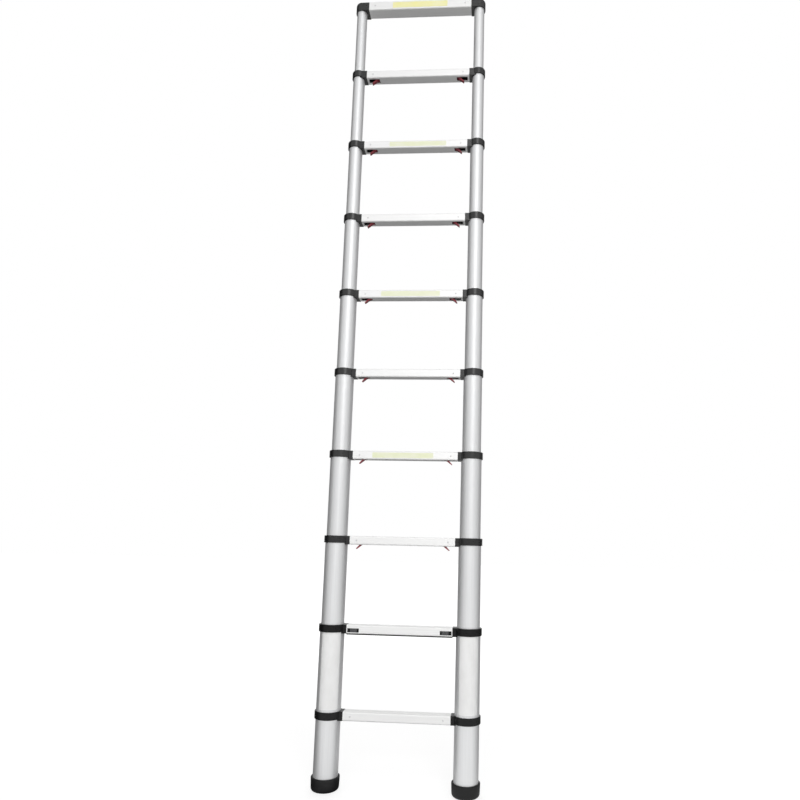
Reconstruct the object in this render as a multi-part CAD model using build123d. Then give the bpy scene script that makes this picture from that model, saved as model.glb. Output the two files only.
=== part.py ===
from build123d import *
import os

# Telescopic ladder standing upright at full height, in millimetres.
# Origin on the floor midway between the feet, X across the rungs, Y front to back, Z up.
# Rungs count from the floor: 1 and 2 belong to the base, 3 to 10 each top a sliding section.

# Overall layout
stile_spacing = 410.0          # between the axes of the two tube columns
first_rung_height = 208.0      # floor to the middle of rung 1
second_rung_rise = 248.0       # rung 1 to rung 2
rung_pitch = 263.0             # rung to rung with the sections pulled out
base_rung = 2                  # the rung at the top of the base tubes
top_rung = 10

# Tubes, each sliding in the one below
base_tube_diameter = 73.0
tube_wall = 1.6
tube_gap = 0.8                 # between a tube and the bore that it slides in
tube_overlap = 90.0            # tube left below the locking hole at full height

# Rungs, hollow extrusions with a ribbed tread
rung_height = 26.0
rung_depth = 36.0
top_rung_height = 32.0
top_rung_depth = 40.0
rung_wall = 1.8
rung_corner = 4.0
tread_groove_width = 2.0
tread_groove_depth = 0.6
tread_groove_pitch = 4.0

# Collars and the plugs that carry the rungs
collar_height = 21.5
collar_thickness = 3.8
collar_round = 1.4
lip_thickness = 2.2            # the collar's top lip, which closes over the tube's end
slide_clearance = 0.35
press_clearance = 0.05
connector_length = 10.0        # from the tube's side to the end of the rung
connector_shoulder = 0.8       # how far the connector stands out round the rung's front and back
connector_round = 1.2
plug_clearance = 0.2
channel_width = 19.0           # the slot inside the plug that holds the latch
channel_start = 6.0            # from the rung's end
channel_roof = 2.0
spring_seat_thickness = 3.0
spring_seat_drop = 8.0         # the seat wall reaches this far down from the channel roof

# Top caps
cap_rise = 2.0                 # above the rung
cap_round = 10.0

# End bushes inside the tubes
bush_flange = 4.0
bush_spigot = 12.0
bush_wall = 3.0

# Locking bolts
bolt_diameter = 8.0
bolt_clearance = 0.4
bolt_roof_gap = 0.5            # bolt to the channel roof
bolt_rest_gap = 0.4            # tip to tube while the section is free to slide
bolt_round = 1.0
blade_setback = 4.0            # channel's start to the blade
blade_past_pin = 6.0
blade_thickness = 4.0
blade_hub_gap = 2.0            # blade to the trigger's hub
stub_diameter = 3.2
spring_gap = 0.2
spring_wire = 0.9
spring_length = 12.0
spring_room = 7.0              # pressed spring to its seat while the bolt is out

# Red triggers under the rungs
pivot_inset = 37.0             # from the rung's end
pivot_floor = 2.2              # plug left below the pivot pin
pivot_diameter = 4.0
pivot_setback = 1.0            # the pin's ends, inside the plug's faces
pivot_clearance = 0.08
hub_wall = 2.5
trigger_side_gap = 1.5
slot_ledge = 0.5               # the rung's slot is narrower than the channel by this on each side
slot_past_pivot = 6.0
tooth_width = 10.0
knee_reach = 5.0               # from the pivot towards the rung's end
knee_drop = 6.0                # below the pivot
knee_radius = 2.8
tip_reach = 18.0
tip_drop = 17.9
tip_radius = 1.3
fork_inset = 1.2
fork_side_gap = 0.8            # fork arm to the bolt's blade
fork_radius = 3.2
drive_pin_diameter = 3.6
drive_pin_clearance = 0.5

# Release slides on the front of rung 2
release_slot_inset = 2.5
release_slot_length = 35.0
release_slot_height = 12.0
release_slot_drop = 3.0        # slot's middle below the rung's middle
release_pad_gap = 9.0          # open slot outside the pad
release_pad_proud = 1.2
release_pad_clearance = 0.5
release_pad_round = 1.0
release_end_gap = 0.3          # pad to the slot's end when it is pushed in
release_stem_length = 10.0
release_stem_below = 6.5
release_travel_in = 5.7
release_travel_out = 2.9

# Rivets through the rung walls into the plugs
rivet_diameter = 4.0
rivet_margin = 1.0             # plug left past the rivet's end
rivet_head_diameter = 5.6
rivet_head_height = 0.8
rivet_inset = 21.5
release_rivet_gap = 12.5       # from the release slot to the rivets at the back of rung 2

# Black strip under rung 2
strip_thickness = 3.0
strip_inset = 1.5              # from the rung's front and back
strip_round = 1.0
stud_diameter = 6.0
stud_rise = 1.2                # above the rung's lower wall
stud_spacing = 120.0

# Rubber feet
foot_wall = 5.5
foot_taper = 1.5               # the sole's radius is smaller by this
foot_height = 38.0
foot_sole = 6.0
foot_round = 9.0
foot_rim_round = 2.0

axis_x = -stile_spacing / 2
first_section = base_rung + 1
drive_inset = pivot_inset + blade_past_pin
plug_length = drive_inset + spring_length + spring_room + spring_seat_thickness
hub_radius = pivot_diameter / 2 + hub_wall
trigger_width = channel_width - 2 * trigger_side_gap
pivot_drop = rung_height / 2 - rung_wall - plug_clearance - pivot_floor - pivot_diameter / 2
roof_rise = rung_height / 2 - rung_wall - plug_clearance - channel_roof
bolt_height = roof_rise - bolt_roof_gap - bolt_diameter / 2
pad_length = release_slot_length - release_pad_gap - release_travel_in - release_end_gap


def tube_radius(rung):
    """Outer radius of the tube that carries this rung."""
    return base_tube_diameter / 2 - max(rung - base_rung, 0) * (tube_wall + tube_gap)


def bore_radius(rung):
    return tube_radius(rung) - tube_wall


def half_height(rung):
    return (top_rung_height if rung == top_rung else rung_height) / 2


def half_depth(rung):
    return (top_rung_depth if rung == top_rung else rung_depth) / 2


def rung_middle(rung):
    """Height of the middle of a rung."""
    if rung < base_rung:
        return first_rung_height
    return first_rung_height + second_rung_rise + (rung - base_rung) * rung_pitch


def from_end(rung, inset):
    """X of a point this far inwards from the left end of a rung."""
    return axis_x + tube_radius(rung) + connector_length + inset


def plug_half_depth(rung):
    return half_depth(rung) - rung_wall - plug_clearance


def rivet_depth(rung):
    """How far a rivet goes into the cheek of the plug."""
    return plug_half_depth(rung) - channel_width / 2 - rivet_margin


def block(low, high):
    """A box between two opposite corners."""
    size = [b - a for a, b in zip(low, high)]
    middle = [(a + b) / 2 for a, b in zip(low, high)]
    return Pos(*middle) * Box(*size)


def upright(radius, bottom, top):
    """A vertical cylinder on the left tube axis."""
    return Pos(axis_x, 0, (bottom + top) / 2) * Cylinder(radius, top - bottom)


def across(radius, start, end, height):
    """A cylinder along X on the rung's centre plane."""
    return Pos((start + end) / 2, 0, height) * Rot(0, 90, 0) * Cylinder(radius, end - start)


def through(radius, length, x, height):
    """A cylinder along Y centred on the rung's centre plane."""
    return Pos(x, 0, height) * Rot(90, 0, 0) * Cylinder(radius, length)


def plate(width, *corners):
    """A flat plate on the rung's centre plane, drawn tight round its corners, each a point and a radius."""
    circles = [Pos(*point) * Circle(radius) for point, radius in corners]
    outline = make_hull([edge for circle in circles for edge in circle.edges()])
    return extrude(Plane.XZ * outline, amount=width / 2, both=True)


def both_sides(*left):
    """The left pieces and their mirror images."""
    return [*left, *(mirror(piece, about=Plane.YZ) for piece in left)]


def save(node, *pieces):
    export_step(Compound(children=list(pieces)), f"parts/{node}.step")


def tube(rung):
    """A tube with its locking hole at the lower end and a bolt hole at its top."""
    top = rung_middle(rung) + half_height(rung) - lip_thickness
    holes = []
    if rung < top_rung:
        holes.append(rung_middle(rung) + bolt_height)
    if rung > base_rung:
        lock = rung_middle(rung - 1) + bolt_height
        holes.append(lock)
        bottom = lock - tube_overlap
    else:
        bottom = foot_sole
    body = upright(tube_radius(rung), bottom, top) - upright(bore_radius(rung), bottom, top)
    for height in holes:
        body -= across(bolt_diameter / 2 + bolt_clearance, axis_x, from_end(rung, 0), height)
    return body


def end_bush(rung):
    """The ring pressed into a tube's lower end, which guides it in the tube below."""
    seat = rung_middle(rung - 1) + bolt_height - tube_overlap
    outer = bore_radius(rung) - press_clearance
    flange = upright(bore_radius(rung - 1) - slide_clearance, seat - bush_flange, seat)
    spigot = upright(outer, seat, seat + bush_spigot)
    return flange + spigot - upright(outer - bush_wall, seat - bush_flange, seat + bush_spigot)


def shoulder(rung):
    """The block between a tube and the end of a rung."""
    half = half_height(rung)
    wide = half_depth(rung) + connector_shoulder
    middle = rung_middle(rung)
    body = block((axis_x, -wide, middle - half), (from_end(rung, 0), wide, middle + half))
    return fillet(body.edges().filter_by(Axis.X), connector_round)


def rung_plug(rung):
    """The plug that fills a rung's end, with the channel for its latch."""
    middle = rung_middle(rung)
    half = half_height(rung)
    end = from_end(rung, 0)
    plug_y = plug_half_depth(rung)
    plug_z = half - rung_wall - plug_clearance
    body = block((end, -plug_y, middle - plug_z), (end + plug_length, plug_y, middle + plug_z))
    body = fillet(body.edges().filter_by(Axis.X), rung_corner - rung_wall)
    roof = middle + plug_z - channel_roof
    half_channel = channel_width / 2
    seat_start = end + plug_length - spring_seat_thickness
    body -= block(
        (end + channel_start, -half_channel, middle - half),
        (end + plug_length, half_channel, roof),
    )
    body += block(
        (seat_start, -half_channel, roof - spring_seat_drop),
        (end + plug_length, half_channel, roof),
    )
    for x, y in rivet_points(rung):
        side = plug_y if y > 0 else -plug_y
        body -= rivet_shank(x, side, middle, rivet_diameter / 2 + press_clearance, rivet_depth(rung))
    return body


def rivet_points(rung):
    """Where rivets go in at a rung's left end: front and back, or the back alone by a release slide."""
    back = half_depth(rung)
    if rung == base_rung:
        return [(from_end(rung, release_slot_inset + release_slot_length + release_rivet_gap), back)]
    return [(from_end(rung, rivet_inset), -back), (from_end(rung, rivet_inset), back)]


def rivet_shank(x, face, height, radius, depth):
    """A cylinder that goes inwards from a front or back face."""
    inwards = -depth if face > 0 else depth
    return Pos(x, face + inwards / 2, height) * Rot(90, 0, 0) * Cylinder(radius, depth)


def rivet(rung, x, y):
    height = rung_middle(rung)
    head_y = y + rivet_head_height / 2 * (1 if y > 0 else -1)
    head = Pos(x, head_y, height) * Rot(90, 0, 0) * Cylinder(rivet_head_diameter / 2, rivet_head_height)
    depth = rung_wall + plug_clearance + rivet_depth(rung) - press_clearance
    return head + rivet_shank(x, y, height, rivet_diameter / 2, depth)


def pivot_pin(rung, clearance):
    """The pin that a trigger turns on, or with a clearance the hole for it."""
    length = 2 * (plug_half_depth(rung) - pivot_setback + clearance)
    radius = pivot_diameter / 2 + clearance
    return through(radius, length, from_end(rung, pivot_inset), rung_middle(rung) - pivot_drop)


def collar(rung):
    """The moulded ring at a tube's top that guides the next tube and carries a rung end."""
    middle = rung_middle(rung)
    top = middle + half_height(rung)
    bottom = top - collar_height
    ring = upright(tube_radius(rung) + collar_thickness, bottom, top)
    ring = fillet(ring.edges().filter_by(GeomType.CIRCLE), collar_round)
    body = ring + shoulder(rung) + rung_plug(rung)
    seat_top = top
    if rung >= base_rung:
        seat_top = top - lip_thickness
        body -= upright(tube_radius(rung + 1) + slide_clearance, seat_top, top)
    body -= upright(tube_radius(rung) + press_clearance, bottom - rung_height, seat_top)
    if rung >= base_rung:
        body -= across(
            bolt_diameter / 2 + bolt_clearance / 2,
            axis_x,
            from_end(rung, channel_start),
            middle + bolt_height,
        )
    if rung > base_rung:
        body -= pivot_pin(rung, press_clearance)
    if rung == base_rung:
        body -= release_window(middle)
    return body


def release_window(middle):
    """The opening in the front cheek of the rung 2 plug for the release slide's stem."""
    stem = from_end(base_rung, release_slot_inset + release_pad_gap + pad_length / 2)
    half_stem = release_stem_length / 2 + release_pad_clearance
    floor = middle - release_stem_below - release_pad_clearance
    roof = middle + bolt_height + bolt_diameter / 2 + release_pad_clearance
    return block(
        (stem - half_stem - release_travel_out, -half_depth(base_rung), floor),
        (stem + half_stem + release_travel_in, 0, roof),
    )


def top_cap():
    """The closed hood on the thinnest tube, which carries the end of the top rung."""
    middle = rung_middle(top_rung)
    half = half_height(top_rung)
    bottom = middle - half
    top = middle + half + cap_rise
    radius = tube_radius(top_rung) + collar_thickness
    hood = upright(radius, bottom, top)
    hood += block((axis_x, -radius, bottom), (from_end(top_rung, 0), radius, top))
    rim = hood.edges().group_by(Axis.Z)[-1].filter_by(Axis.Y, reverse=True)
    body = fillet(rim, cap_round) + rung_plug(top_rung)
    return body - upright(tube_radius(top_rung) + press_clearance, bottom, middle + half - lip_thickness)


def foot():
    """A rubber cup, narrower at the sole, pushed on to the base tube."""
    radius = tube_radius(base_rung) + foot_wall
    body = Pos(axis_x, 0, foot_height / 2) * Cone(radius - foot_taper, radius, foot_height)
    body = fillet(body.edges().group_by(Axis.Z)[0], foot_round)
    body = fillet(body.edges().group_by(Axis.Z)[-1], foot_rim_round)
    return body - upright(tube_radius(base_rung) + press_clearance, foot_sole, foot_height)


def rung_bar(rung):
    """A hollow extruded rung with grooves along its tread and slots for the latches."""
    middle = rung_middle(rung)
    half = half_height(rung)
    front = -half_depth(rung)
    end = from_end(rung, 0)
    width = 2 * half_depth(rung)
    outline = RectangleRounded(width, 2 * half, rung_corner)
    cavity = RectangleRounded(width - 2 * rung_wall, 2 * (half - rung_wall), rung_corner - rung_wall)
    groove_count = int((width - 2 * rung_corner) // tread_groove_pitch)
    grooves = GridLocations(tread_groove_pitch, 0, groove_count, 1)
    profile = outline - cavity
    profile -= Pos(0, half) * grooves * Rectangle(tread_groove_width, 2 * tread_groove_depth)
    place = Plane(origin=(end, 0, middle), x_dir=(0, 1, 0), z_dir=(1, 0, 0))
    bar = extrude(place * profile, amount=-2 * end)
    cuts = []
    if base_rung < rung < top_rung:
        half_slot = channel_width / 2 - slot_ledge
        cuts.append(block(
            (end + channel_start, -half_slot, middle - half),
            (end + pivot_inset + slot_past_pivot, half_slot, middle - half + 2 * rung_wall),
        ))
    if rung == base_rung:
        start = end + release_slot_inset
        floor = middle - release_slot_drop - release_slot_height / 2
        cuts.append(block(
            (start, front, floor),
            (start + release_slot_length, front + 2 * rung_wall, floor + release_slot_height),
        ))
        cuts.append(strip_stud(press_clearance))
    for x, y in rivet_points(rung):
        cuts.append(rivet_shank(x, y, middle, rivet_diameter / 2 + press_clearance, 2 * rung_wall))
    for cut in both_sides(*cuts):
        bar -= cut
    return bar


def strip_stud(clearance):
    """A stud that holds the strip in the lower wall of rung 2, or with a clearance its hole."""
    bottom = rung_middle(base_rung) - half_height(base_rung)
    height = rung_wall + stud_rise
    radius = stud_diameter / 2 + clearance
    return Pos(-stud_spacing / 2, 0, bottom + height / 2) * Cylinder(radius, height)


def underside_strip():
    """The black strip along the underside of rung 2, with its two studs."""
    bottom = rung_middle(base_rung) - half_height(base_rung)
    end = from_end(base_rung, 0)
    half = half_depth(base_rung) - strip_inset
    strip = block((end, -half, bottom - strip_thickness), (-end, half, bottom))
    lower = strip.edges().filter_by(Axis.X).group_by(Axis.Z)[0]
    strip = fillet(lower, strip_round)
    for stud in both_sides(strip_stud(0)):
        strip += stud
    return strip


def rung_fasteners(rung):
    """Rivets at both ends of a rung, and the pivot pins of its triggers."""
    left = [rivet(rung, x, y) for x, y in rivet_points(rung)]
    if base_rung < rung < top_rung:
        left.append(pivot_pin(rung, 0))
    return both_sides(*left)


def trigger(rung):
    """The red lever: a slanted tooth below the rung and a fork above the pivot that moves the bolt."""
    x = from_end(rung, pivot_inset)
    z = rung_middle(rung) - pivot_drop
    pivot = (x, z)
    knee = (x - knee_reach, z - knee_drop)
    tip = (x - tip_reach, z - tip_drop)
    drive = (x, rung_middle(rung) + bolt_height)
    fork_width = trigger_width - 2 * fork_inset
    half_gap = blade_thickness / 2 + fork_side_gap
    fork = plate(fork_width, (pivot, fork_radius), (drive, fork_radius))
    fork -= block(
        (x - 2 * fork_radius, -half_gap, z + hub_radius),
        (x + 2 * fork_radius, half_gap, drive[1] + 2 * fork_radius),
    )
    body = plate(tooth_width, (pivot, hub_radius), (knee, knee_radius))
    body += plate(tooth_width, (knee, knee_radius), (tip, tip_radius))
    body += through(hub_radius, trigger_width, *pivot)
    body += fork + through(drive_pin_diameter / 2, fork_width, *drive)
    return body - through(pivot_diameter / 2 + pivot_clearance, trigger_width, *pivot)


def bolt_rod(rung, length):
    """The round end of a bolt, from just clear of the sliding tube to a point in the rung."""
    tip = axis_x + tube_radius(rung + 1) + bolt_rest_gap
    height = rung_middle(rung) + bolt_height
    rod = across(bolt_diameter / 2, tip, from_end(rung, length), height)
    return fillet(rod.edges().group_by(Axis.X)[0], bolt_round)


def bolt_stub(rung):
    """The thin tail of a bolt that holds its return spring."""
    height = rung_middle(rung) + bolt_height
    start = from_end(rung, drive_inset)
    return across(stub_diameter / 2, start, start + spring_length, height)


def bolt_spring(rung):
    """The return spring's envelope at its pressed length, a sleeve on the bolt's tail."""
    height = rung_middle(rung) + bolt_height
    start = from_end(rung, drive_inset)
    inner = stub_diameter / 2 + spring_gap
    sleeve = across(inner + spring_wire, start, start + spring_length, height)
    return sleeve - across(inner, start, start + spring_length, height)


def bolt(rung):
    """A locking bolt with a flat blade notched for the trigger's drive pin."""
    height = rung_middle(rung) + bolt_height
    blade_start = channel_start + blade_setback
    blade_bottom = rung_middle(rung) - pivot_drop + hub_radius + blade_hub_gap
    half_blade = blade_thickness / 2
    blade = block(
        (from_end(rung, blade_start), -half_blade, blade_bottom),
        (from_end(rung, drive_inset), half_blade, height + bolt_diameter / 2),
    )
    half_notch = drive_pin_diameter / 2 + drive_pin_clearance
    notch_x = from_end(rung, pivot_inset)
    notch = block(
        (notch_x - half_notch, -half_blade, blade_bottom),
        (notch_x + half_notch, half_blade, height + half_notch),
    )
    return bolt_rod(rung, blade_start + bolt_diameter / 2) + (blade - notch) + bolt_stub(rung)


def release_slide():
    """The black thumb slide of rung 2: a pad on the front, a stem and its own bolt."""
    middle = rung_middle(base_rung)
    face = half_depth(base_rung) + release_pad_proud
    seat = half_depth(base_rung) - rung_wall - plug_clearance / 2
    pad_start = from_end(base_rung, release_slot_inset + release_pad_gap)
    pad_half = release_slot_height / 2 - release_pad_clearance
    pad_middle = middle - release_slot_drop
    pad = block(
        (pad_start, -face, pad_middle - pad_half),
        (pad_start + pad_length, -seat, pad_middle + pad_half),
    )
    pad = fillet(pad.edges().group_by(Axis.Y)[0], release_pad_round)
    stem_middle = pad_start + pad_length / 2
    stem = block(
        (stem_middle - release_stem_length / 2, -seat, middle - release_stem_below),
        (stem_middle + release_stem_length / 2, 0, middle + bolt_height + bolt_diameter / 2),
    )
    return bolt_rod(base_rung, drive_inset) + stem + pad + bolt_stub(base_rung)


os.makedirs("parts", exist_ok=True)

# Base: feet, thickest tubes, and the two fixed rungs
save("feet", *both_sides(foot()))
save("base_tubes", *both_sides(tube(base_rung)))
save("base_collars", *both_sides(collar(1), collar(base_rung)))
for rung in (1, base_rung):
    save(f"rung_{rung}", rung_bar(rung), *rung_fasteners(rung))
save(f"rung_{base_rung}_strip", underside_strip())
for side, slide, spring in zip(
    ("left", "right"),
    both_sides(release_slide()),
    both_sides(bolt_spring(base_rung)),
):
    save(f"{side}_release", slide, spring)

# Sliding sections with their latches
for rung in range(first_section, top_rung):
    save(f"tubes_{rung}", *both_sides(tube(rung)))
    save(f"collars_{rung}", *both_sides(collar(rung), end_bush(rung)))
    save(f"rung_{rung}", rung_bar(rung), *rung_fasteners(rung))
    levers = both_sides(trigger(rung))
    bolts = both_sides(bolt(rung))
    springs = both_sides(bolt_spring(rung))
    for side, lever, pin, spring in zip(("left", "right"), levers, bolts, springs):
        save(f"{side}_trigger_{rung}", lever)
        save(f"{side}_bolt_{rung}", pin, spring)

# Top section with its closed caps
save(f"tubes_{top_rung}", *both_sides(tube(top_rung)))
save(f"caps_{top_rung}", *both_sides(top_cap(), end_bush(top_rung)))
save(f"rung_{top_rung}", rung_bar(top_rung), *rung_fasteners(top_rung))
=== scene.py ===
from math import pi, radians, sin

import bmesh
import bpy
from mathutils import Matrix, Vector


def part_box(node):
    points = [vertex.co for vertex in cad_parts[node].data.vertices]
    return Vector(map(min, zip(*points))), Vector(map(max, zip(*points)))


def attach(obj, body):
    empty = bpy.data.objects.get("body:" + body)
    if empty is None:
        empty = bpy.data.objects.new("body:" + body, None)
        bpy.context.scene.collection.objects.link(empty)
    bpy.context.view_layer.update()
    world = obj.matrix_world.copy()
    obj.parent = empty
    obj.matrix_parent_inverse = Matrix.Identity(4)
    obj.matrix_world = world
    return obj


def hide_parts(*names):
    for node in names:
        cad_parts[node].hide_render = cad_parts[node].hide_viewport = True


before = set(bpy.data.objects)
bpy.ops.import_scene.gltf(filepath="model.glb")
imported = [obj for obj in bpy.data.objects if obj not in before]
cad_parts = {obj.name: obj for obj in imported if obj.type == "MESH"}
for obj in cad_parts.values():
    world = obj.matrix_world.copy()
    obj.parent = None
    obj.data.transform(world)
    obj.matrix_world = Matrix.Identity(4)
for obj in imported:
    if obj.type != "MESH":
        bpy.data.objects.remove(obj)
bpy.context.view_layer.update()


# Rubber feet
# A moulded black rubber cup is pushed on to the lower end of each base tube.
# Ring grooves in its sole grip the floor, and its rim is rounded where it meets the tube.
foot_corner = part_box("feet")[1]
foot_radius = foot_corner.y
stile_x = foot_corner.x - foot_radius
foot_height = foot_corner.z
foot_wall = 0.0055
foot_taper = 0.0015
foot_edge_round = 0.009
foot_edge_segments = 6
foot_rim_round = 0.002
foot_rim_segments = 4
sole_groove_radii = (0.010, 0.018, 0.026)
sole_groove_half_width = 0.0014
sole_groove_depth = 0.0016
turn_steps = 96
weld_distance = 1e-6
sharp_angle = radians(35)
rubber_black = (0.006, 0.006, 0.0062)
rubber_dust = (0.016, 0.016, 0.0165)
rubber_dust_span = (0.45, 0.8)
rubber_rough, rubber_dust_rough = 0.42, 0.25
rubber_shine = 0.3
pore_cells = (1800, 1800, 1800)
pore_depth = 0.00008
dust_cells = (40, 40, 90)
grain_detail, stain_detail = 2.0, 5.0


class Shade:
    """A socket in a node tree, so that shader maths can be written as an expression."""

    def __init__(self, tree, socket=None):
        self.tree = tree
        self.socket = socket

    def add(self, kind, settings=None, inputs=None, output=0):
        """Adds a node: its settings are set first, then its sockets get values or links."""
        node = self.tree.nodes.new(kind)
        for name, value in (settings or {}).items():
            if name == "stops":
                stops = node.color_ramp.elements
                while len(stops) < len(value):
                    stops.new(1.0)
                for stop, (position, colour) in zip(stops, value):
                    stop.position = position
                    stop.color = (*colour, 1.0)
            else:
                setattr(node, name, value)
        for name, value in (inputs or {}).items():
            if isinstance(value, Shade):
                self.tree.links.new(value.socket, node.inputs[name])
            else:
                node.inputs[name].default_value = value
        return Shade(self.tree, node.outputs[output] if node.outputs else None)

    def maths(self, operation, left, right):
        return self.add("ShaderNodeMath", {"operation": operation}, {0: left, 1: right})

    def __add__(self, other):
        return self.maths("ADD", self, other)

    __radd__ = __add__

    def __sub__(self, other):
        return self.maths("SUBTRACT", self, other)

    def __rsub__(self, other):
        return self.maths("SUBTRACT", other, self)

    def __mul__(self, other):
        return self.maths("MULTIPLY", self, other)

    __rmul__ = __mul__


def new_finish(name):
    """An empty material, and its node tree to build on."""
    finish = bpy.data.materials.new(name)
    finish.use_nodes = True
    finish.node_tree.nodes.clear()
    return finish, Shade(finish.node_tree)


def speckle(tree, cells, detail=grain_detail):
    """Noise from 0 to 1 on the piece's own coordinates, with so many cells per metre on each axis."""
    place = tree.add("ShaderNodeTexCoord", output="Object")
    stretched = tree.add("ShaderNodeVectorMath", {"operation": "MULTIPLY"}, {0: place, 1: cells})
    return tree.add("ShaderNodeTexNoise", inputs={"Vector": stretched, "Scale": 1.0, "Detail": detail})


def tint(tree, value, span, first, second):
    """A colour that goes from the first to the second while a value crosses a span."""
    stops = list(zip(span, (first, second)))
    return tree.add("ShaderNodeValToRGB", {"stops": stops}, {"Fac": value})


def relief(tree, height, depth):
    """Bumps this deep, in metres, where the height goes from 0 to 1."""
    return tree.add("ShaderNodeBump", inputs={"Height": height, "Distance": depth})


def coat(tree, **sockets):
    """Ends a material in the shader whose sockets get these values or links."""
    inputs = {name.replace("_", " "): value for name, value in sockets.items()}
    shader = tree.add("ShaderNodeBsdfPrincipled", inputs=inputs)
    tree.add("ShaderNodeOutputMaterial", inputs={"Surface": shader})


def add_object(bm, name, finish):
    """Makes an object of a bmesh, smooth but for its sharp edges."""
    mesh = bpy.data.meshes.new(name)
    bm.to_mesh(mesh)
    bm.free()
    mesh.shade_smooth()
    mesh.set_sharp_from_angle(angle=sharp_angle)
    mesh.materials.append(finish)
    made = bpy.data.objects.new(name, mesh)
    bpy.context.scene.collection.objects.link(made)
    return made


def add_piece(bm, name, finish, body):
    """Makes a piece of the ladder that moves with a body."""
    piece = add_object(bm, name, finish)
    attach(piece, body)
    return piece


def turned(bm, profile, x):
    """Spins a line of (radius, height) points about the upright axis at this x."""
    points = [bm.verts.new((x + radius, 0, height)) for radius, height in profile]
    edges = [bm.edges.new(pair) for pair in zip(points, points[1:])]
    bmesh.ops.spin(
        bm,
        geom=points + edges,
        cent=(x, 0, 0),
        axis=(0, 0, 1),
        angle=2 * pi,
        steps=turn_steps,
        use_merge=True,
    )
    bmesh.ops.remove_doubles(bm, verts=bm.verts, dist=weld_distance)
    bmesh.ops.recalc_face_normals(bm, faces=bm.faces)


def ring_edges(bm, x, radius, height):
    """The edges of a turned shape that lie on one circle."""
    def on_circle(vert):
        reach = Vector((vert.co.x - x, vert.co.y)).length
        return abs(reach - radius) < weld_distance and abs(vert.co.z - height) < weld_distance
    return [edge for edge in bm.edges if all(on_circle(vert) for vert in edge.verts)]


def round_edges(bm, edges, size, segments):
    bmesh.ops.bevel(
        bm,
        geom=edges,
        offset=size,
        segments=segments,
        affect="EDGES",
        profile=0.5,
        material=-1,
        clamp_overlap=True,
    )


def copy_to_right(bm):
    """Adds the mirror image of what is on the left."""
    geom = bm.verts[:] + bm.edges[:] + bm.faces[:]
    bmesh.ops.mirror(bm, geom=geom, axis="X", merge_dist=0)
    bmesh.ops.recalc_face_normals(bm, faces=bm.faces)


rubber_finish, tree = new_finish("foot_rubber")
pores = speckle(tree, pore_cells)
dust = speckle(tree, dust_cells, stain_detail)
coat(
    tree,
    Base_Color=tint(tree, dust, rubber_dust_span, rubber_black, rubber_dust),
    Roughness=rubber_rough + rubber_dust_rough * dust,
    Specular_IOR_Level=rubber_shine,
    Normal=relief(tree, pores, pore_depth),
)

feet = bmesh.new()
sole_radius = foot_radius - foot_taper
profile = [(0, 0)]
for radius in sole_groove_radii:
    profile.append((radius - sole_groove_half_width, 0))
    profile.append((radius - sole_groove_half_width, sole_groove_depth))
    profile.append((radius + sole_groove_half_width, sole_groove_depth))
    profile.append((radius + sole_groove_half_width, 0))
profile.append((sole_radius, 0))
profile.append((foot_radius, foot_height))
profile.append((foot_radius - foot_wall, foot_height))
profile.append((foot_radius - foot_wall, foot_height / 2))
turned(feet, profile, -stile_x)
sole_edge = ring_edges(feet, -stile_x, sole_radius, 0)
round_edges(feet, sole_edge, foot_edge_round, foot_edge_segments)
rim_edge = ring_edges(feet, -stile_x, foot_radius, foot_height)
round_edges(feet, rim_edge, foot_rim_round, foot_rim_segments)
copy_to_right(feet)
feet_piece = add_piece(feet, "foot_cups", rubber_finish, "base")
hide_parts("feet")


# Tubes
# Drawn aluminium tubes, satin anodised, that slide one inside the other like a telescope.
# Drawing leaves fine lines along them, and sliding adds faint longer rub marks.
first_section = 3
top_rung = 10
tube_pale = (0.77, 0.775, 0.78)
tube_line = (0.72, 0.725, 0.73)
tube_line_span = (0.35, 0.65)
tube_line_cells = (900, 900, 4)
tube_line_depth = 0.00002
tube_rub_cells = (160, 160, 1.5)
tube_grain_cells = (2600, 2600, 2600)
line_detail = 3.0
tube_rough, tube_rub_rough, tube_grain_rough = 0.42, 0.10, 0.06
tube_metal = 0.65


def dress(node, finish):
    """Gives a node of the frame its finish."""
    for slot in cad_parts[node].material_slots:
        slot.material = finish


tube_finish, tree = new_finish("satin_tube")
lines = speckle(tree, tube_line_cells, line_detail)
rub = speckle(tree, tube_rub_cells, line_detail)
grain = speckle(tree, tube_grain_cells)
coat(
    tree,
    Base_Color=tint(tree, lines, tube_line_span, tube_line, tube_pale),
    Metallic=tube_metal,
    Roughness=tube_rough + tube_rub_rough * rub + tube_grain_rough * grain,
    Normal=relief(tree, lines, tube_line_depth),
)
dress("base_tubes", tube_finish)
for rung in range(first_section, top_rung + 1):
    dress(f"tubes_{rung}", tube_finish)


# Bare labels on the base tubes
# A sheet of white vinyl is stuck round the front of each base tube, between its two collars.
# Its corners are rounded and it carries no print.
tube_label_low = 0.228
tube_label_high = 0.447
tube_label_turn = {"left": radians(10), "right": radians(7)}
tube_label_half_angle = radians(47)
tube_label_steps = 24
tube_label_corner = 0.008
label_lift = 0.00012
label_thickness = 0.0001
label_corner_segments = 4
vinyl_white = (0.92, 0.92, 0.915)
vinyl_soiled = (0.86, 0.86, 0.85)
vinyl_soil_span = (0.4, 0.75)
vinyl_soil_cells = (50, 50, 25)
vinyl_rough, vinyl_soil_rough = 0.38, 0.15
peel_cells = (900, 900, 900)
peel_depth = 0.00002
tube_radius = foot_radius - foot_wall


def round_corners(label, corners, size):
    bmesh.ops.bevel(
        label,
        geom=corners,
        offset=size,
        segments=label_corner_segments,
        affect="VERTICES",
        profile=0.5,
        material=-1,
    )


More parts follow.
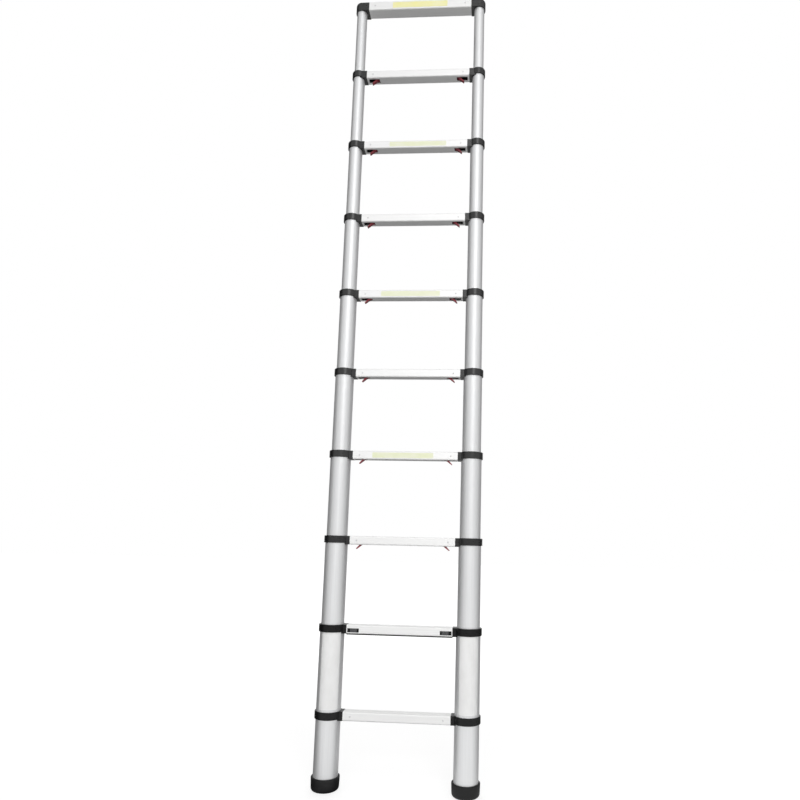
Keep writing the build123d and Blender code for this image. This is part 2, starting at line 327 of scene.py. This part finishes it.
white_vinyl, tree = new_finish("white_vinyl")
soil = speckle(tree, vinyl_soil_cells, stain_detail)
peel = speckle(tree, peel_cells)
coat(
    tree,
    Base_Color=tint(tree, soil, vinyl_soil_span, vinyl_white, vinyl_soiled),
    Roughness=vinyl_rough + vinyl_soil_rough * soil,
    Normal=relief(tree, peel, peel_depth),
)
for side, x in (("left", -stile_x), ("right", stile_x)):
    label = bmesh.new()
    reach = tube_radius + label_lift
    start_turn = Matrix.Rotation(tube_label_turn[side] - tube_label_half_angle, 3, "Z")
    start = start_turn @ Vector((0, -reach, 0))
    ends = [label.verts.new((x + start.x, start.y, z)) for z in (tube_label_low, tube_label_high)]
    edge = label.edges.new(ends)
    bmesh.ops.spin(
        label,
        geom=ends + [edge],
        cent=(x, 0, 0),
        axis=(0, 0, 1),
        angle=2 * tube_label_half_angle,
        steps=tube_label_steps,
    )
    corners = [vert for vert in label.verts if len(vert.link_faces) == 1]
    round_corners(label, corners, tube_label_corner)
    bmesh.ops.recalc_face_normals(label, faces=label.faces)
    bmesh.ops.solidify(label, geom=label.faces[:], thickness=label_thickness)
    add_piece(label, f"{side}_tube_label", white_vinyl, "base")


# Collars and caps
# Black nylon mouldings at the top of each tube: a ring that guides the next tube and a block
# that carries the rung's end. The two at the top are closed hoods.
plastic_black = (0.003, 0.003, 0.0032)
plastic_scuff = (0.010, 0.010, 0.0105)
plastic_scuff_span = (0.5, 0.85)
plastic_scuff_cells = (70, 70, 240)
plastic_rough, plastic_scuff_rough = 0.22, 0.14
spark_cells = (2200, 2200, 2200)
spark_depth = 0.00006
# Two shines for one nylon: the lower one is painted shade on the base collars, the higher one a
# painted highlight on the collars and caps above
shaded_nylon_shine = 0.25
lit_nylon_shine = 0.6


def black_nylon(name, shine):
    """Black nylon with a fine moulded grain and scuff marks that run round it."""
    finish, tree = new_finish(name)
    spark = speckle(tree, spark_cells)
    scuff = speckle(tree, plastic_scuff_cells, stain_detail)
    coat(
        tree,
        Base_Color=tint(tree, scuff, plastic_scuff_span, plastic_black, plastic_scuff),
        Roughness=plastic_rough + plastic_scuff_rough * scuff,
        Specular_IOR_Level=shine,
        Normal=relief(tree, spark, spark_depth),
    )
    return finish


# The same black nylon in two copies. The base collars get the one with less shine, whose weaker
# highlight is painted shade. The collars and caps above get the glossier one, whose brighter highlight
# is painted light.
shaded_black_nylon = black_nylon("shaded_black_nylon", shaded_nylon_shine)
lit_black_nylon = black_nylon("lit_black_nylon", lit_nylon_shine)
dress("base_collars", shaded_black_nylon)
dress(f"caps_{top_rung}", lit_black_nylon)
for rung in range(first_section, top_rung):
    dress(f"collars_{rung}", lit_black_nylon)


# Rungs
# Hollow aluminium extrusions with a ribbed tread, paler than the tubes, cut to length and
# riveted on to the plugs of the collars. A black strip is clipped under the second one.
release_rung = 2
rung_pale = (0.90, 0.90, 0.895)
rung_line = (0.83, 0.83, 0.825)
rung_line_span = (0.3, 0.65)
rung_line_cells = (5, 1100, 1100)
rung_line_depth = 0.00002
rung_wear_cells = (30, 60, 60)
rung_rough, rung_wear_rough = 0.36, 0.14
rung_metal = 0.2

rung_finish, tree = new_finish("rung_extrusion")
lines = speckle(tree, rung_line_cells, line_detail)
wear = speckle(tree, rung_wear_cells, stain_detail)
coat(
    tree,
    Base_Color=tint(tree, lines, rung_line_span, rung_line, rung_pale),
    Metallic=rung_metal,
    Roughness=rung_rough + rung_wear_rough * wear,
    Normal=relief(tree, lines, rung_line_depth),
)
for rung in range(1, top_rung + 1):
    dress(f"rung_{rung}", rung_finish)
# The strip takes the duller copy of the nylon, the one that paints shade on the base collars.
dress(f"rung_{release_rung}_strip", shaded_black_nylon)


# Rivets
# Blind rivets hold each rung to its plugs, front and back at each end, and on the second rung
# at the back alone. Their domed heads keep the hole of the stem that set them.
rivet_head_radius = 0.0032
rivet_head_rise = 0.0014
rivet_crown = 0.6
rivet_crown_round = 0.0006
rivet_crown_segments = 2
rivet_hole_rim = 0.0009
rivet_hole_slope = 0.00015
rivet_hole_depth = 0.0009
rivet_segments = 20
rivet_inset = 0.0215
rivet_inset_at_release = 0.050
cad_rivet_rise = 0.0008
rivet_bright = (0.78, 0.78, 0.78)
rivet_dull = (0.64, 0.64, 0.645)
rivet_patch_span = (0.35, 0.65)
rivet_patch_cells = (700, 700, 700)
rivet_rough, rivet_patch_rough = 0.35, 0.2
rivet_metal = 0.6


def body_of(rung):
    """The body that carries a rung."""
    return "base" if rung < first_section else f"section_{rung}"


def rung_back(rung):
    """The y of a rung's back face, without its rivets. The front face is as far from the middle."""
    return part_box(f"rung_{rung}")[1].y - cad_rivet_rise


def rung_middle(rung):
    low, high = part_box(f"rung_{rung}")
    return (low.z + high.z) / 2


def add_rivet_head(bm, x, y, z):
    """One head that stands on the front or the back face of a rung."""
    facing = -1 if y < 0 else 1
    upright = Matrix.Translation((x, y + facing * rivet_head_rise / 2, z))
    bmesh.ops.create_cone(
        bm,
        cap_ends=True,
        segments=rivet_segments,
        radius1=rivet_head_radius,
        radius2=rivet_head_radius * rivet_crown,
        depth=rivet_head_rise,
        matrix=upright @ Matrix.Rotation(-facing * pi / 2, 4, "X"),
    )
    def outermost():
        return max(bm.faces, key=lambda face: facing * face.calc_center_median().y)
    round_edges(bm, list(outermost().edges), rivet_crown_round, rivet_crown_segments)
    crown = outermost()
    bmesh.ops.inset_individual(bm, faces=[crown], thickness=rivet_hole_rim)
    bmesh.ops.inset_individual(bm, faces=[crown], thickness=rivet_hole_slope, depth=-rivet_hole_depth)


rivet_finish, tree = new_finish("rivet_aluminium")
patches = speckle(tree, rivet_patch_cells, line_detail)
coat(
    tree,
    Base_Color=tint(tree, patches, rivet_patch_span, rivet_dull, rivet_bright),
    Metallic=rivet_metal,
    Roughness=rivet_rough + rivet_patch_rough * patches,
)
for rung in range(1, top_rung + 1):
    heads = bmesh.new()
    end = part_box(f"rung_{rung}")[0].x
    back = rung_back(rung)
    if rung == release_rung:
        add_rivet_head(heads, end + rivet_inset_at_release, back, rung_middle(rung))
    else:
        for face in (-back, back):
            add_rivet_head(heads, end + rivet_inset, face, rung_middle(rung))
    copy_to_right(heads)
    add_piece(heads, f"rivet_heads_{rung}", rivet_finish, body_of(rung))


# Bare labels on the rungs
# A strip of pale yellow vinyl is stuck on the front of every second rung from the fourth up.
# The one at the top is a stronger yellow, and none of them carries print.
rung_label_length = 0.190
rung_label_height = 0.0165
top_label_height = 0.0215
rung_label_shift = {4: -0.007, 6: 0.0, 8: 0.008, 10: 0.0}
rung_label_corner = 0.002
yellow_pale = (0.81, 0.84, 0.58)
yellow_faded = (0.86, 0.87, 0.70)
yellow_strong = (0.92, 0.88, 0.38)
yellow_strong_faded = (0.93, 0.91, 0.55)
fading_span = (0.35, 0.7)
fading_cells = (25, 60, 60)
patch_detail = 4.0
yellow_rough, fading_rough = 0.4, 0.15


def yellow_vinyl(name, strong, faded):
    """Vinyl that has faded in patches towards a paler colour."""
    finish, tree = new_finish(name)
    fading = speckle(tree, fading_cells, patch_detail)
    peel = speckle(tree, peel_cells)
    coat(
        tree,
        Base_Color=tint(tree, fading, fading_span, strong, faded),
        Roughness=yellow_rough + fading_rough * fading,
        Normal=relief(tree, peel, peel_depth),
    )
    return finish


pale_vinyl = yellow_vinyl("pale_yellow_vinyl", yellow_pale, yellow_faded)
strong_vinyl = yellow_vinyl("strong_yellow_vinyl", yellow_strong, yellow_strong_faded)
for rung, shift in rung_label_shift.items():
    label = bmesh.new()
    height = top_label_height if rung == top_rung else rung_label_height
    face = -rung_back(rung) - label_lift
    place = Matrix.Translation((shift, face, rung_middle(rung))) @ Matrix.Rotation(pi / 2, 4, "X")
    shape = Matrix.Diagonal((rung_label_length, height, 1, 1))
    bmesh.ops.create_grid(label, x_segments=1, y_segments=1, size=0.5, matrix=place @ shape)
    round_corners(label, label.verts[:], rung_label_corner)
    bmesh.ops.solidify(label, geom=label.faces[:], thickness=label_thickness)
    finish = strong_vinyl if rung == top_rung else pale_vinyl
    add_piece(label, f"rung_label_{rung}", finish, body_of(rung))


# Latch triggers and bolts
# A red nylon lever under each rung end turns on a pin. Its fork draws a turned steel bolt that
# locks the section above, and a spring on the bolt's tail brings both back.
trigger_red = (0.28, 0.040, 0.055)
trigger_dark = (0.16, 0.022, 0.032)
trigger_shade_span = (0.3, 0.6)
trigger_shade_cells = (120, 120, 120)
trigger_rough, trigger_shade_rough = 0.38, 0.18
bolt_bright = (0.62, 0.62, 0.63)
bolt_dull = (0.42, 0.42, 0.43)
bolt_ring_span = (0.35, 0.65)
bolt_ring_cells = (1600, 40, 40)
bolt_ring_depth = 0.00003
bolt_rough, bolt_ring_rough = 0.28, 0.2
bolt_metal = 1.0

red_plastic, tree = new_finish("red_plastic")
shade = speckle(tree, trigger_shade_cells, patch_detail)
spark = speckle(tree, spark_cells)
coat(
    tree,
    Base_Color=tint(tree, shade, trigger_shade_span, trigger_dark, trigger_red),
    Roughness=trigger_rough + trigger_shade_rough * shade,
    Normal=relief(tree, spark, spark_depth),
)
bolt_steel, tree = new_finish("turned_steel")
rings = speckle(tree, bolt_ring_cells, line_detail)
coat(
    tree,
    Base_Color=tint(tree, rings, bolt_ring_span, bolt_dull, bolt_bright),
    Metallic=bolt_metal,
    Roughness=bolt_rough + bolt_ring_rough * rings,
    Normal=relief(tree, rings, bolt_ring_depth),
)
for rung in range(first_section, top_rung):
    for side in ("left", "right"):
        dress(f"{side}_trigger_{rung}", red_plastic)
        dress(f"{side}_bolt_{rung}", bolt_steel)


# Release slides
# Two thumb slides sit in slots on the front of the second rung. Each is a grey moulded pad with
# ribs across it for the thumb, and carries its own bolt inside the rung.
pad_start = -0.147
pad_length = 0.020
pad_drop = 0.003
rib_count = 5
rib_width = 0.0014
rib_height = 0.0085
rib_rise = 0.0008
rib_round = 0.0004
rib_round_segments = 2
pad_grey = (0.050, 0.050, 0.052)
pad_worn = (0.095, 0.095, 0.098)
pad_wear_span = (0.4, 0.75)
pad_wear_cells = (300, 300, 120)
pad_rough, pad_wear_rough = 0.4, 0.15

pad_plastic, tree = new_finish("grey_slide_plastic")
worn = speckle(tree, pad_wear_cells, patch_detail)
spark = speckle(tree, spark_cells)
coat(
    tree,
    Base_Color=tint(tree, worn, pad_wear_span, pad_grey, pad_worn),
    Roughness=pad_rough + pad_wear_rough * worn,
    Normal=relief(tree, spark, spark_depth),
)
for side, sign in (("left", 1), ("right", -1)):
    dress(f"{side}_release", pad_plastic)
    ribs = bmesh.new()
    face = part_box(f"{side}_release")[0].y
    for rib in range(rib_count):
        x = sign * (pad_start + pad_length * (rib + 1) / (rib_count + 1))
        place = Matrix.Translation((x, face, rung_middle(release_rung) - pad_drop))
        shape = Matrix.Diagonal((rib_width, 2 * rib_rise, rib_height, 1))
        bmesh.ops.create_cube(ribs, size=1, matrix=place @ shape)
    round_edges(ribs, ribs.edges[:], rib_round, rib_round_segments)
    add_piece(ribs, f"{side}_slide_ribs", pad_plastic, f"{side}_release")


# Studio
# A white floor and white surroundings. Reflections see the studio white behind the camera and
# dark at its sides, which gives the tubes their dark edges.
floor_reach = 20.0
floor_paint = (0.30, 0.30, 0.30, 1)
floor_bounce = (0.12, 0.12, 0.12, 1)
floor_glow = 0.77
floor_shadow_reach = 0.6
floor_white_reach = 2.5
far_floor_start, far_floor_end = 2.7, 4.4
far_floor_grey = 0.1
surround_light = 0.45
white = (1, 1, 1, 1)
wall_dark, wall_mid, wall_back, wall_white = 0.08, 0.42, 0.80, 1.15
studio_walls = (
    (radians(-180), wall_back),
    (radians(-160), wall_back),
    (radians(-130), wall_dark),
    (radians(-80), wall_dark),
    (radians(-58), wall_white),
    (radians(72), wall_white),
    (radians(105), wall_mid),
    (radians(130), wall_dark),
    (radians(160), wall_back),
    (radians(180), wall_back),
)
wall_top_start, wall_top_end = sin(radians(12)), sin(radians(42))
wall_top_grey = 0.7
mix_first, mix_second, mix_result = 6, 7, 2    # the colour sockets of a Mix node


def mixed(tree, factor, first, second):
    """The first colour where the factor is 0, the second where it is 1."""
    sockets = {"Factor": factor, mix_first: first, mix_second: second}
    return tree.add("ShaderNodeMix", {"data_type": "RGBA"}, sockets, mix_result)


def ray(tree, kind):
    """1 for rays of this kind, 0 for others."""
    return tree.add("ShaderNodeLightPath", output=f"Is {kind} Ray")


def seen_as_background(tree):
    """1 for the rays that show the surroundings themselves, 0 for those that light the piece."""
    rays = ray(tree, "Camera") + ray(tree, "Glossy") + ray(tree, "Transmission")
    return tree.maths("MINIMUM", rays, 1.0)


def studio_grey(tree, direction):
    """How light the studio is in this direction from the ladder, as its reflections see it."""
    right = tree.add("ShaderNodeSeparateXYZ", inputs={0: direction}, output="X")
    back = tree.add("ShaderNodeSeparateXYZ", inputs={0: direction}, output="Y")
    turn = tree.maths("ARCTAN2", right, 0 - back)
    stops = [(0.5 + angle / (2 * pi), (grey, grey, grey)) for angle, grey in studio_walls]
    return tree.add("ShaderNodeValToRGB", {"stops": stops}, {"Fac": 0.5 + turn * (0.5 / pi)})


def blend_between(tree, value, start, end, low, high):
    """Goes smoothly from low to high while a value goes from start to end."""
    ends = {"Value": value, "From Min": start, "From Max": end, "To Min": low, "To Max": high}
    return tree.add("ShaderNodeMapRange", {"interpolation_type": "SMOOTHSTEP"}, ends)


surround = bpy.data.worlds.new("white_studio")
surround.use_nodes = True
surround.node_tree.nodes.clear()
tree = Shade(surround.node_tree)
mirrored = ray(tree, "Glossy")
direction = tree.add("ShaderNodeTexCoord", output="Generated")
shown = mixed(tree, mirrored, white, studio_grey(tree, direction))
height = tree.add("ShaderNodeSeparateXYZ", inputs={0: direction}, output="Z")
wall_loss = blend_between(tree, height, wall_top_start, wall_top_end, 0.0, 1 - wall_top_grey)
light = surround_light + (1 - surround_light) * seen_as_background(tree)
strength = light * (1 - mirrored * wall_loss)
sky = tree.add("ShaderNodeBackground", inputs={"Color": shown, "Strength": strength})
tree.add("ShaderNodeOutputWorld", inputs={"Surface": sky})
bpy.context.scene.world = surround

floor_finish, tree = new_finish("white_floor")
place = tree.add("ShaderNodeTexCoord", output="Object")
away = tree.add("ShaderNodeVectorMath", {"operation": "LENGTH"}, {0: place}, "Value")
whitening = blend_between(tree, away, floor_shadow_reach, floor_white_reach, floor_glow, 1.0)
darkening = blend_between(tree, away, far_floor_start, far_floor_end, 1.0, far_floor_grey)
paint_colour = mixed(tree, ray(tree, "Camera"), floor_bounce, floor_paint)
paint = tree.add("ShaderNodeBsdfDiffuse", inputs={"Color": paint_colour})
glow_strength = whitening * seen_as_background(tree)
glow = tree.add("ShaderNodeEmission", inputs={"Color": white, "Strength": glow_strength})
seen = tree.add("ShaderNodeAddShader", inputs={0: paint, 1: glow})
walls = studio_grey(tree, place)
reflected = tree.add("ShaderNodeEmission", inputs={"Color": walls, "Strength": darkening})
shown = tree.add("ShaderNodeMixShader", inputs={0: ray(tree, "Glossy"), 1: seen, 2: reflected})
tree.add("ShaderNodeOutputMaterial", inputs={"Surface": shown})
ground = bmesh.new()
bmesh.ops.create_grid(ground, x_segments=1, y_segments=1, size=floor_reach)
add_object(ground, "floor", floor_finish)


# Lamps
# Large soft boxes: one high and one low near the camera, and one behind the ladder for its back.
# Only the high one shows in the metal, as a soft bright band.
softbox_place = Vector((0.8, -3.5, 3.4))
softbox_target = Vector((0, 0, 1.7))
softbox_size = (1.4, 3.0)
softbox_power = 40.0
fill_place = Vector((0.5, -3.2, 1.2))
fill_target = Vector((0, 0, 0.9))
fill_size = (3.0, 2.0)
fill_power = 66.0
back_place = Vector((-0.6, 3.0, 3.6))
back_target = Vector((0, 0, 1.3))
back_size = (3.0, 2.0)
back_power = 45.0


def add_lamp(name, place, target, size, power):
    """A rectangular soft lamp that points at a target."""
    light = bpy.data.lights.new(name, "AREA")
    light.shape = "RECTANGLE"
    light.size, light.size_y = size
    light.energy = power
    lamp = bpy.data.objects.new(name, light)
    lamp.location = place
    lamp.rotation_euler = (target - place).to_track_quat("-Z", "Y").to_euler()
    bpy.context.scene.collection.objects.link(lamp)
    return lamp


add_lamp("softbox", softbox_place, softbox_target, softbox_size, softbox_power)
fill = add_lamp("fill", fill_place, fill_target, fill_size, fill_power)
fill.visible_glossy = False
back = add_lamp("back", back_place, back_target, back_size, back_power)
back.visible_glossy = False


# Camera
# It stands in front of the ladder and a little to the right, at the height of the third rung,
# and looks slightly up. The photograph's middle is not on the lens's axis, hence the shift.
photo_pixels = 800
focal_pixels = 619.09
shift_pixels = (-52.0, 52.22)
eye = Vector((0.2686, -1.9, 0.7154))
camera_yaw = radians(3.745)
camera_pitch = radians(8.397)
camera_roll = radians(-1.287)

lens = bpy.data.cameras.new("camera")
lens.lens = focal_pixels / photo_pixels * lens.sensor_width
lens.shift_x, lens.shift_y = (shift / photo_pixels for shift in shift_pixels)
camera = bpy.data.objects.new("camera", lens)
camera.matrix_world = (
    Matrix.Translation(eye)
    @ Matrix.Rotation(camera_yaw, 4, "Z")
    @ Matrix.Rotation(camera_pitch, 4, "X")
    @ Matrix.Rotation(camera_roll, 4, "Y")
    @ Matrix.Rotation(pi / 2, 4, "X")
)
bpy.context.scene.collection.objects.link(camera)
bpy.context.scene.camera = camera
bpy.context.scene.view_settings.view_transform = "Standard"
